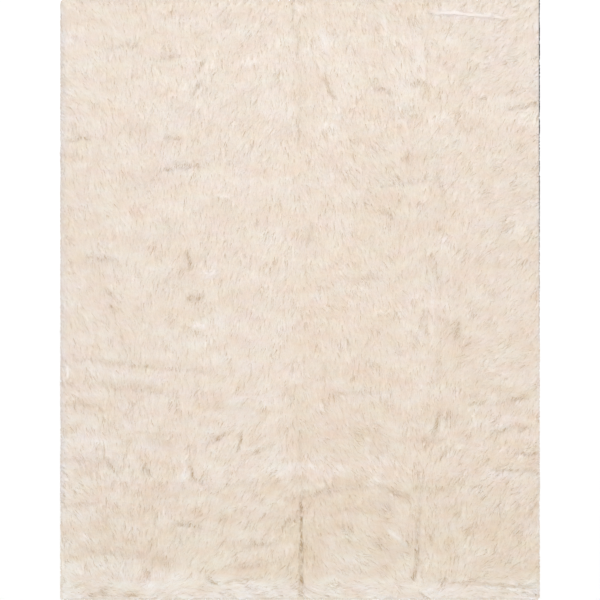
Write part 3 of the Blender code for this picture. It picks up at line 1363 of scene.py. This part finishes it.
@dataclass(frozen=True)
class PileLayer:
    """One layer of the pile: where its locks are rooted, how they lie, and their tones.

    Locks are also rooted round the slab, up to overhang outside it. Their roots are drawn in to
    the outline and down to the floor, so that they climb over the side and fall inwards. The
    pile is ruffled in patches, more so to the right, in the near part and along the near edge.
    """

    layer: Layer
    relief: Relief
    comb: Comb
    tufts: Tufts
    overhang: float = 0.026
    over_reach: float = 0.010           # points this far outside the slab droop in full
    droop: float = 0.010
    floor_gap: float = 0.0015
    gather_share: float = 0.30
    push_apart: float = 0.006
    slope_gap: float = 0.003
    shorten: float = 0.35
    shorten_at: float = 0.9             # share of a lock's length where it meets a parting
    shorten_limit: float = 1.2
    curl: float = 0.05
    roll: float = 0.13
    calm: float = 0.75
    right_ruffle: Ramp = Ramp(-0.4, 0.3, 0.30)
    near_ruffle: Ramp = Ramp(-0.3, -0.9, 0.31)
    edge_ruffle: Ramp = Ramp(-1.33, -1.43, 0.25)
    near_calm: float = 0.5              # share of the right side's ruffle that is lost in the near part
    patches: WaveField = WaveField(0.04, 0.20, 20, 23)
    patch_spread: float = 0.42
    patch_limits: Span = (0.30, 2.4)
    # painted highlight on the ridges, where the pile lies flat
    ridge_highlight: float = 0.139
    ridge_limit: float = 0.5
    stroke: Span = (0.3, 1.3)           # a lock's own share of a parting's depth
    open_share: float = 0.34            # and how much of that shows as tan
    fleck: Span = (0.15, 0.75)          # how tan a fleck is, as an opening
    warm_share: float = 0.9             # how much cooler a brighter stretch of pile is
    own_warmth: float = 0.6             # how much warmer a brighter lock is
    warmth_spread: float = 0.003

    def roots(self, rng: np.random.Generator) -> Plan:
        """Roots on a grid of the layer's pitch, each moved at random within its cell.

        Args:
            rng: the layer's random numbers.

        Returns:
            Places across and along the rug, from the far end to the near one.
        """
        kind = self.layer.value
        across = self.relief.width + 2 * self.overhang
        along = self.relief.length + 2 * self.overhang
        columns, rows = round(across / kind.pitch), round(along / kind.pitch)
        row, column = np.divmod(np.arange(rows * columns), columns)
        x = ((column + rng.uniform(0, 1, row.shape)) / columns - 0.5) * across
        y = (0.5 - (row + rng.uniform(0, 1, row.shape)) / rows) * along
        return x, y

    def wildness(self, x: Array, y: Array) -> Array:
        """How ruffled the pile is at each place: its part's ruffle * exp(spread * patches), within limits.

        Args:
            x: places across the rug.
            y: places along the rug.

        Returns:
            What the pile's own scatter is scaled by, about 1.
        """
        near = self.near_ruffle.at(y)
        right = self.right_ruffle.at(x) * (1 - self.near_calm * near / self.near_ruffle.amount)
        part = self.calm + right + near + self.edge_ruffle.at(y)
        return part * np.clip(np.exp(self.patch_spread * self.patches.at(x, y)), *self.patch_limits)

    def headings(self, x: Array, y: Array, tuft: TuftShare, rng: np.random.Generator) -> Plan:
        """The comb's direction, turned by tuft and by chance, and pushed away from partings.

        The push is against the slope of the opening, taken over a small gap.

        Args:
            x: places across the rug.
            y: places along the rug.
            tuft: what each lock takes from its tuft.
            rng: the layer's random numbers.

        Returns:
            The heading's parts across and along the rug, of unit length.
        """
        turned = tuft.turn + rng.normal(0, self.layer.value.jitter, x.shape)
        lean = np.radians(self.comb.lean(x, y) + turned * np.sqrt(self.wildness(x, y)))
        here = self.relief.opening(x, y)
        slope_x = (self.relief.opening(x + self.slope_gap, y) - here) / self.slope_gap
        slope_y = (self.relief.opening(x, y + self.slope_gap) - here) / self.slope_gap
        hx = -np.sin(lean) - self.push_apart * slope_x
        hy = -np.cos(lean) - self.push_apart * slope_y
        size = np.hypot(hx, hy) + TINY
        return hx / size, hy / size

    def line(self, x: Array, y: Array, tuft: TuftShare, rng: np.random.Generator) -> tuple[Array, Array]:
        """Centre lines of the locks: along the heading in plan, and sunk in the pile by station.

        In plan a point is root + heading * length * t, moved sideways towards its tuft's line by
        a share that grows with t, and by a small curl, sin(pi t). Locks that end in a parting
        are shorter. Its height is the pile's own height there less the station's sink. What is
        outside the outline is drawn in to it and droops.

        Args:
            x: roots across the rug.
            y: roots along the rug.
            tuft: what each lock takes from its tuft.
            rng: the layer's random numbers.

        Returns:
            The lines, as (locks, stations, 3), and which of them belong to the rug.
        """
        kind = self.layer.value
        hx, hy = self.headings(x, y, tuft, rng)
        length = rng.uniform(*kind.length, x.shape) * tuft.stretch
        ends = self.relief.opening(x + hx * length * self.shorten_at, y + hy * length * self.shorten_at)
        length *= 1 - self.shorten * np.clip(ends, 0, self.shorten_limit)
        off_line = (x - tuft.x) * -hy + (y - tuft.y) * hx
        curl = rng.normal(0, self.curl, x.shape) * length
        t = np.array(kind.stations)
        sideways = -off_line[:, None] * self.gather_share * t + curl[:, None] * np.sin(np.pi * t)
        px, py = laid((x, y), (hx, hy), length, t, sideways)
        kept = self.relief.inset((px[:, 0] + px[:, -1]) / 2, (py[:, 0] + py[:, -1]) / 2) > 0
        px, py = drawn_in(px, py)
        over = np.clip(-self.relief.inset(px, py) / self.over_reach, 0, 1)
        sink = np.array(kind.sink) + rng.normal(0, kind.sink_spread, px.shape) * self.wildness(px, py)
        sink[:, 1:] -= tuft.lift[:, None]
        high = self.relief.height(px, py) - sink - over * self.droop
        return np.stack([px, py, np.maximum(high, self.floor_gap)], axis=2), kept

    def coat(self, locks: LockSet, tuft: TuftShare, rng: np.random.Generator) -> Array:
        """Tone, opening and warmth of every point.

        The tone is one plus the tuft's and the lock's own chance, the light and shade painted for the pile's lie, and
        a painted highlight on ridges. The opening is the partings' sum times the lock's own share, so that a parting
        breaks up into strokes, and a few locks are tan flecks; the partings' tan is partly the open pile's own colour,
        partly painted shade of its depth. The warmth falls as a stretch of pile brightens, and rises with the lock's
        own tone.

        Args:
            locks: the locks.
            tuft: what each lock takes from its tuft.
            rng: the layer's random numbers.

        Returns:
            The vectors, as (locks, points of one, 3).
        """
        kind = self.layer.value
        points = locks.points()
        count = len(locks)
        x, y = points[..., 0], points[..., 1]
        opened = self.relief.opening(x, y)
        own = rng.uniform(*self.stroke, count)[:, None]
        wild = self.wildness(x[:, 0], y[:, 0])
        own_tone = rng.normal(0, kind.tone_spread, count) * wild
        # painted highlight on ridges plus the painted light and shade of the pile's lie; the tufts' random tone
        # follows
        broad = self.ridge_highlight * np.clip(-opened, 0, self.ridge_limit) + self.comb.painted_light(x, y)
        broad += (tuft.tone * wild)[:, None]
        made = np.empty((*x.shape, 3))
        made[..., 0] = 1 + own_tone[:, None] + broad
        # the opening's tan: partly the open pile's own colour, partly painted shade of the partings' depth
        made[..., 1] = np.clip(opened * own * self.open_share, 0, MOST_OPEN)
        fleck = (rng.uniform(0, 1, count) < kind.fleck_share * wild**2) * rng.uniform(*self.fleck, count)
        made[..., 1] += fleck[:, None]
        own_warmth = rng.normal(0, self.warmth_spread, count) + self.own_warmth * own_tone
        made[..., 2] = own_warmth[:, None] - self.warm_share * broad - self.comb.coolness(x, y)
        return made

    def build(self, material: Material) -> list[Piece]:
        """Makes the layer's pieces, strips across the rug from the far end to the near one.

        Args:
            material: the pile's finish.

        Returns:
            The pieces.
        """
        kind = self.layer.value
        rng = np.random.default_rng(kind.seed)
        x, y = self.roots(rng)
        tuft = self.tufts.gather(x, y)
        line, kept = self.line(x, y, tuft, rng)
        line = line[kept]
        width = rng.uniform(*kind.width, len(line))[:, None] * np.array(kind.taper)
        roll = rng.normal(0, self.roll, len(line)) * self.wildness(line[:, 0, 0], line[:, 0, 1])
        locks = LockSet(line, width, roll, rng.uniform(0, 1, len(line)))
        coat = self.coat(locks, tuft.part(kept), rng)
        strips = np.array_split(np.arange(len(locks)), kind.pieces)
        return [
            dress(locks.part(strip).put(f"{kind.name}_{number}", coat[strip]), material)
            for number, strip in enumerate(strips, start=1)
        ]


@dataclass(frozen=True)
class PartingHairs:
    # the partings' hairs are tan partly as the underwool's own colour, partly as painted shade of the pile's depth;
    # the ridges' pale hairs are a painted highlight
    """Single hairs along the partings, tan as the pile's depth, and pale ones along the main ridges."""

    relief: Relief
    comb: Comb
    name: str = "parting_hairs"
    per_metre: float = 760.0            # hairs to a metre of a parting of depth 1
    ridge_share: float = 2.0            # times as many to a metre of a ridge
    ridge_least: float = 0.7            # the least depth of a ridge that has hairs
    spread: float = 0.30                # of their places, in the parting's widths
    ridge_spread: float = 0.55
    length: Span = (0.014, 0.034)
    width: Span = (0.0024, 0.0042)
    ends: Span = (-0.30, 0.70)          # shares of a hair's length behind and ahead of its place
    crossing_share: float = 0.45
    lift: float = 0.0016
    ridge_lift: float = 0.0020
    lift_spread: float = 0.0004
    jitter: float = 13.0
    ridge_jitter: float = 3.0
    bunch: float = 0.020
    least_short: float = 0.50           # least strength of a bunch in the shortest partings
    least_long: float = 0.05            # and in those of the long reach or more
    long_reach: float = 0.3
    own: Span = (0.0, 1.5)
    ridge_own: float = 0.9
    depth_share: float = 1.18
    # painted highlight of the ridges' hairs
    ridge_highlight: float = 0.056
    warm_share: float = 0.75            # how much cooler a brighter hair is
    seed: int = 61

    def strengths(self, along: Array, reach: Array, row: Array, rng: np.random.Generator) -> Array:
        """How strongly each hair shows: it fades to the parting's ends and varies in bunches.

        The fade is the square root of 1 - (along / half its length)^2. A bunch's strength is
        random, and is carried smoothly from each bunch to the next. Each hair has its own
        random strength too. Along a ridge neither varies.

        Args:
            along: the hairs' places along their partings.
            reach: the partings' lengths.
            row: the number of each hair's parting.
            rng: the piece's random numbers.

        Returns:
            Strengths from 0 up, mostly below 1.
        """
        table = np.array(PARTINGS)
        lengths, ridge = table[:, 2:3], table[row, 5] < 0
        bunches = 1 + math.ceil(lengths.max() / self.bunch)
        shorter = 1 - np.clip(lengths / self.long_reach, 0, 1)
        least = self.least_long + (self.least_short - self.least_long) * shorter
        random = least + (1 - least) * rng.uniform(0, 1, (len(PARTINGS), bunches + 1))
        place = (along + reach / 2) / self.bunch
        before = np.floor(place).astype(int)
        share = step(place - before, 0, 1)
        bunched = random[row, before] * (1 - share) + random[row, before + 1] * share
        bunched = np.where(ridge, 1.0, bunched)
        own = np.where(ridge, self.ridge_own, rng.uniform(*self.own, along.shape))
        return bunched * np.sqrt(np.clip(1 - (2 * along / reach) ** 2, 0, 1)) * own

    def build(self, material: Material) -> Piece:
        """Makes the hairs: as many to a parting as its length and depth ask for.

        In a parting they lie as the comb does, shorter where that crosses the line. On a ridge they lie along it, and
        their painted highlight fades away from its line, exp(-(across / width)^2).

        Args:
            material: the pile's finish.

        Returns:
            The piece.
        """
        rng = np.random.default_rng(self.seed)
        table = np.array(PARTINGS)
        depths = table[:, 5]
        share = np.where(depths < 0, self.ridge_share * (depths <= -self.ridge_least), depths)
        count = np.round(table[:, 2] * share * self.per_metre).astype(int)
        row = np.repeat(np.arange(len(table)), count)
        x, y, reach, bearing, wide, depth = table[row].T
        ridge = depth < 0
        along = rng.uniform(-0.5, 0.5, x.shape) * reach
        across = rng.normal(0, np.where(ridge, self.ridge_spread, self.spread)) * wide
        turn = np.radians(bearing)
        x = x + along * np.cos(turn) - across * np.sin(turn)
        y = y + along * np.sin(turn) + across * np.cos(turn)
        x, y = self.relief.unbent(x, y)
        locks = self.locks(x, y, turn, ridge, rng)
        strength = np.abs(depth) * self.strengths(along, reach, row, rng)
        strength *= np.where(ridge, np.exp(-((across / wide) ** 2)), 1.0)
        piece = locks.put(self.name, self.coat(locks, strength, ridge))
        return dress(piece, material)

    def locks(self, x: Array, y: Array, turn: Array, ridge: Array, rng: np.random.Generator) -> LockSet:
        """The hairs as straight locks, a little over the pile.

        Args:
            x: the hairs' places across the rug.
            y: the hairs' places along the rug.
            turn: the bearings of their partings, in radians.
            ridge: which of them lie on a ridge.
            rng: the piece's random numbers.

        Returns:
            The locks.
        """
        lean = np.radians(self.comb.lean(x, y) + rng.normal(0, self.jitter, x.shape))
        follow = turn + np.radians(rng.normal(0, self.ridge_jitter, x.shape))
        hx = np.where(ridge, np.cos(follow), -np.sin(lean))
        hy = np.where(ridge, np.sin(follow), -np.cos(lean))
        in_line = np.abs(hx * np.cos(turn) + hy * np.sin(turn))
        length = rng.uniform(*self.length, x.shape)
        length *= self.crossing_share + (1 - self.crossing_share) * in_line
        px, py = drawn_in(*laid((x, y), (hx, hy), length, np.array(self.ends)))
        lift = np.where(ridge, self.ridge_lift, self.lift)[:, None]
        high = self.relief.height(px, py) + lift + rng.normal(0, self.lift_spread, px.shape)
        width = rng.uniform(*self.width, x.shape)[:, None]
        return LockSet(np.stack([px, py, high], axis=2), width, np.zeros(len(x)), rng.uniform(0, 1, len(x)))

    def coat(self, locks: LockSet, strength: Array, ridge: Array) -> Array:
        """Tone, opening and warmth of every point: a hair of a ridge is bright, any other tan.

        Args:
            locks: the hairs.
            strength: how strongly each hair shows.
            ridge: which of them lie on a ridge.

        Returns:
            The vectors, as (locks, points of one, 3).
        """
        # painted highlight on the ridges' hairs
        brighter = np.where(ridge, self.ridge_highlight * strength, 0.0)[:, None]
        # the other hairs' tan is partly the underwool's own colour, partly painted shade of the pile's depth
        opened = np.where(ridge, 0.0, np.clip(self.depth_share * strength, 0, MOST_OPEN))
        points = locks.points()
        made = np.empty(points.shape)
        made[..., 0] = 1 + brighter
        made[..., 1] = opened[:, None]
        made[..., 2] = -self.comb.coolness(points[..., 0], points[..., 1]) - self.warm_share * brighter
        return made


@dataclass(frozen=True)
class RimLocks:
    """Short locks in rows round the slab's side, which fall outwards to the floor."""

    relief: Relief
    name: str = "rim_locks"
    pitch: float = 0.0062
    rows: tuple[float, ...] = (0.006, 0.011, 0.016)     # heights of the roots
    root_inset: float = 0.010
    reach: Span = (0.75, 1.0)
    shoulder: float = 0.35              # share of its reach where a lock's shoulder is
    shoulder_sway: float = 0.5          # and of its sway
    shoulder_drop: float = 0.85         # and of its root's height
    width: Span = (0.006, 0.010)
    taper: Span = (0.8, 1.0)
    tip_height: Span = (0.001, 0.005)
    sway: float = 0.006
    roll: float = 0.3
    tone: float = 0.98
    tone_spread: float = 0.02
    # painted highlight on the near end's rim locks, where the pile curls over towards the light
    near_highlight: float = 0.04             # what the near end's locks are brighter by
    seed: int = 51

    def path(self, place: Array) -> tuple[Array, Array, Array]:
        """The slab's side as a closed path of four straight sides.

        Args:
            place: distance along the path from the far left corner, clockwise.

        Returns:
            Points on the path, and the directions outwards and ahead there, all as (places, 2).
        """
        across, along = self.relief.width, self.relief.length
        turns = np.cumsum([across, along, across, along])
        side = np.searchsorted(turns, place, side="right") % 4
        run = place - np.concatenate([[0.0], turns[:3]])[side]
        corners = np.array([(-across, along), (across, along), (across, -along), (-across, -along)]) / 2
        out = np.array([(0.0, 1.0), (1.0, 0.0), (0.0, -1.0), (-1.0, 0.0)])[side]
        ahead = np.stack([out[:, 1], -out[:, 0]], axis=1)
        return corners[side] + ahead * run[:, None], out, ahead

    def build(self, material: Material) -> Piece:
        """Makes the rows of locks: root inside the side, a shoulder over it, and a tip on the floor.

        Args:
            material: the pile's finish.

        Returns:
            The piece.
        """
        rng = np.random.default_rng(self.seed)
        around = 2 * (self.relief.width + self.relief.length)
        each = round(around / self.pitch)
        count = each * len(self.rows)
        place = (np.tile(np.arange(each), len(self.rows)) + rng.uniform(0, 1, count)) * around / each
        on_side, out, ahead = self.path(np.clip(place, 0, around - TINY))
        high = np.repeat(self.rows, each)
        along = ahead * rng.normal(0, self.sway, count)[:, None]
        room = np.abs(out) @ np.array(REACH) - np.abs((out * on_side).sum(axis=1))
        reach = (room * rng.uniform(*self.reach, count))[:, None]
        line = np.empty((count, 3, 3))
        line[:, 0, :2] = on_side - out * self.root_inset
        line[:, 1, :2] = on_side + out * reach * self.shoulder + along * self.shoulder_sway
        line[:, 2, :2] = on_side + out * reach + along
        line[:, 0, 2] = high
        line[:, 1, 2] = high * self.shoulder_drop
        line[:, 2, 2] = rng.uniform(*self.tip_height, count)
        width = rng.uniform(*self.width, count)[:, None] * np.array(self.taper)
        locks = LockSet(line, width, rng.normal(0, self.roll, count), rng.uniform(0, 1, count))
        tone = rng.normal(0, self.tone_spread, count) - self.near_highlight * np.minimum(out[:, 1], 0)
        coat = np.zeros((count, locks.points_each, 3))
        coat[..., 0] = self.tone + tone[:, None]
        return dress(locks.put(self.name, coat), material)


@dataclass(frozen=True)
class Underwool:
    """The dense short wool under the locks: a lumpy body with a flat foot on the backing."""

    relief: Relief
    name: str = "underwool"
    columns: int = 60
    rows: int = 75
    below_pile: float = 0.008
    side_inset: float = 0.006
    foot: float = 0.0025
    least: float = 0.005

    def build(self, material: Material) -> Piece:
        """Makes the body: the pile's relief on a grid, its border dropped straight to one foot face.

        Args:
            material: the underwool's finish.

        Returns:
            The piece.
        """
        half_x = self.relief.width / 2 - self.side_inset
        half_y = self.relief.length / 2 - self.side_inset
        x, y, number, quads = grid(half_x, half_y, self.columns, self.rows)
        top = np.stack([x, y, np.maximum(self.relief.height(x, y) - self.below_pile, self.least)], axis=1)
        border = np.concatenate([number[0, :-1], number[:-1, -1], number[-1, :0:-1], number[:0:-1, 0]])
        after = np.roll(border, -1)
        low = len(top) + np.arange(len(border))
        low_after = np.roll(low, -1)
        walls = np.stack([low, low_after, after, border], axis=1)
        middle = len(top) + len(border)
        fan = np.stack([low_after, low, np.full(len(low), middle)], axis=1)
        foot = top[border] * (1, 1, 0) + (0, 0, self.foot)
        points = np.concatenate([top, foot, [(0, 0, self.foot)]])
        return dress(put_mesh(self.name, points, np.concatenate([quads, walls]), fan), material)


@dataclass(frozen=True)
class Backing:
    """The woven cloth that the pile is rooted in, one flat sheet on the floor."""

    name: str = "backing_cloth"
    width: float = 2.408
    length: float = 3.018
    thickness: float = 0.003
    columns: int = 24
    rows: int = 30

    def build(self, material: Material, pile: list[Piece]) -> Piece:
        """Makes the sheet: a level grid, its upper face, that a Solidify modifier thickens downwards.

        Args:
            material: the backing's finish.
            pile: the pieces that stand on the cloth.

        Returns:
            The piece.
        """
        x, y, _, quads = grid(self.width / 2, self.length / 2, self.columns, self.rows)
        points = np.stack([x, y, np.full(x.size, self.thickness)], axis=1)
        piece = put_mesh(self.name, points, quads)
        wall = piece.modifiers.new("thickness", "SOLIDIFY")
        wall.thickness = self.thickness
        wall.offset = -1.0
        dress(piece, material)
        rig.sheet(piece, flat=(self.width, self.length), held="laid", with_pieces=pile)
        return piece


@dataclass(frozen=True)
class Studio:
    """A plain pale floor, soft light mostly from above and from the far end, and the camera."""

    floor_size: float = 14.0
    floor_gap: float = 0.0006
    sky_strength: float = 0.287
    sun_strength: float = 2.21
    sun_angle: float = 14.0
    sun_place: Place = (-0.15, 0.40, 5.0)
    panel_power: float = 38.0
    panel_size: float = 2.5
    panel_place: Place = (0.1, 3.0, 4.2)
    lens: float = 150.0
    sensor: float = 36.0
    clip_end: float = 100.0
    outline_height: float = 0.006       # the height that the rug's outline is framed at
    framed_length: float = 3.05

    def add_floor(self) -> None:
        """Makes the floor, one level face under the rug."""
        x, y, _, quads = grid(self.floor_size / 2, self.floor_size / 2, 1, 1)
        floor = put_mesh("studio_floor", np.stack([x, y, np.full(x.size, -self.floor_gap)], axis=1), quads)
        floor.data.materials.append(FloorFinish().build())
        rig.stage(floor)

    def add_light(self) -> None:
        """Makes an even white sky, a broad sun and one panel towards the far end."""
        world = bpy.data.worlds.new("studio")
        world.use_nodes = True
        sky = world.node_tree.nodes["Background"]
        sky.inputs[0].default_value = (*WHITE, 1.0)
        sky.inputs[1].default_value = self.sky_strength
        bpy.context.scene.world = world
        sun = bpy.data.lights.new("broad_sun", "SUN")
        sun.energy = self.sun_strength
        sun.angle = math.radians(self.sun_angle)
        self.place_light(sun, Vector(self.sun_place))
        panel = bpy.data.lights.new("far_panel", "AREA")
        panel.energy = self.panel_power
        panel.size = self.panel_size
        self.place_light(panel, Vector(self.panel_place))

    def place_light(self, light: bpy.types.Light, place: Vector) -> None:
        """Puts a light at a place, turned to the rug's middle.

        Args:
            light: the light.
            place: where it stands.
        """
        made = bpy.data.objects.new(light.name, light)
        made.location = place
        made.rotation_euler = (-place).to_track_quat("-Z", "Y").to_euler()
        bpy.context.scene.collection.objects.link(made)

    def add_camera(self) -> None:
        """Makes the camera, straight above, as far off as frames the rug's length exactly."""
        view = bpy.data.cameras.new("overhead")
        view.lens = self.lens
        view.sensor_width = self.sensor
        view.clip_end = self.clip_end
        camera = bpy.data.objects.new("overhead", view)
        camera.location = (0.0, 0.0, self.outline_height + self.framed_length * self.lens / self.sensor)
        bpy.context.scene.collection.objects.link(camera)
        bpy.context.scene.camera = camera

    def build(self) -> None:
        """Makes the floor, the lights and the camera, and shows colours as they are."""
        self.add_floor()
        self.add_light()
        self.add_camera()
        bpy.context.scene.view_settings.view_transform = "Standard"


def main() -> None:
    """Builds the rug's pieces in order, then the studio, and writes the two boxes."""
    logging.basicConfig(level=logging.INFO, format="%(name)s: %(message)s")
    relief, comb, tufts = Relief(), Comb(), Tufts()
    pile_finish = PileFinish().build()
    pile = [Underwool(relief).build(UnderwoolFinish().build())]
    for layer in Layer:
        pile += PileLayer(layer, relief, comb, tufts).build(pile_finish)
    pile.append(PartingHairs(relief, comb).build(pile_finish))
    pile.append(RimLocks(relief).build(pile_finish))
    for piece in (*pile, Backing().build(BackingFinish().build(), pile)):
        report(piece)
    Studio().build()
    boxes = {"cad": [list(corner) for corner in cad_box], "visual": [list(corner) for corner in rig.bounds()]}
    with open(SIZE_FILE, "w") as size_file:
        json.dump(boxes, size_file)
    log.info("boxes: %s", boxes)


if __name__ == "__main__":
    main()
